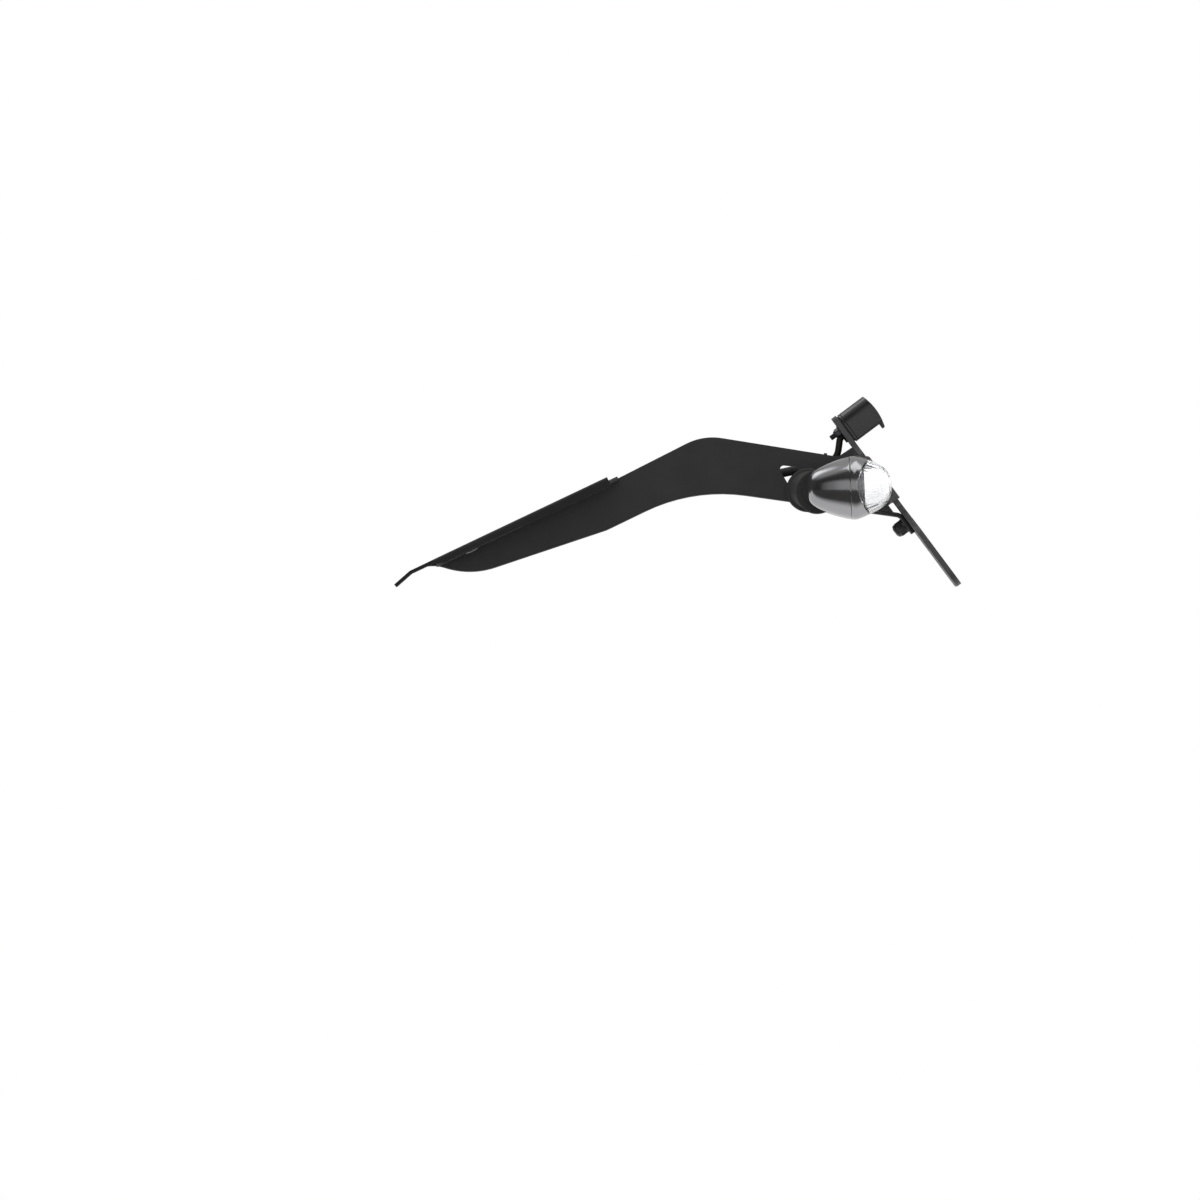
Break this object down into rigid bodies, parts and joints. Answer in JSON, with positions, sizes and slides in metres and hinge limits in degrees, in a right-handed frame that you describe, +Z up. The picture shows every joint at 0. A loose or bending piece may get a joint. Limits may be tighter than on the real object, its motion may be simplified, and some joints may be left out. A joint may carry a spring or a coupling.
{
  "type": "tail tidy",
  "caption": "Folded black steel tail arm for a motorbike with plate lamp, slanted licence plate bracket and clear-lens indicators on rubber stems.",
  "frame": {"origin": "middle of the four mounting holes, on the face that is bolted up against the tail", "axes": "+X towards the rear of the bike, +Y to its right, +Z up"},
  "size_m": [0.3099, 0.1744, 0.1044],
  "materials": {
    "powder_coat": "satin",
    "black_fastener": "satin",
    "zinc_fastener": "satin",
    "rubber": "matt",
    "lamp_plastic": "satin",
    "gloss_shell": "polished",
    "clear_lens": "clear",
    "bright_reflector": "polished",
    "circuit_board": "matt",
    "cable_jacket": "satin",
    "nylon": "matt"
  },
  "bodies": {
    "root": {"base_plate": "powder_coat", "base_rivets": "black_fastener", "arm": "powder_coat", "plate_bracket": "powder_coat", "clamp_channel": "powder_coat", "channel_bolts": "black_fastener", "channel_washers": "zinc_fastener", "channel_nuts": "zinc_fastener", "tab_screws": "black_fastener", "tab_washers": "black_fastener", "tab_nuts": "black_fastener", "lamp_gasket": "rubber", "lamp_base": "lamp_plastic", "lamp_hood": "lamp_plastic", "lamp_lens": "clear_lens", "lamp_board": "circuit_board", "lamp_studs": "black_fastener", "lamp_washers": "black_fastener", "lamp_nuts": "black_fastener", "lamp_grommet": "rubber", "lamp_lead": "cable_jacket", "lamp_plug": "nylon", "left_stem": "rubber", "left_stem_tube": "zinc_fastener", "left_stem_washer": "zinc_fastener", "left_stem_nut": "zinc_fastener", "left_shell": "gloss_shell", "left_bezel": "gloss_shell", "left_lens": "clear_lens", "left_reflector": "bright_reflector", "left_light_board": "circuit_board", "left_lead": "cable_jacket", "left_plug": "nylon", "right_stem": "rubber", "right_stem_tube": "zinc_fastener", "right_stem_washer": "zinc_fastener", "right_stem_nut": "zinc_fastener", "right_shell": "gloss_shell", "right_bezel": "gloss_shell", "right_lens": "clear_lens", "right_reflector": "bright_reflector", "right_light_board": "circuit_board", "right_lead": "cable_jacket", "right_plug": "nylon", "cable_ties": "nylon"}
  },
  "joints": []
}
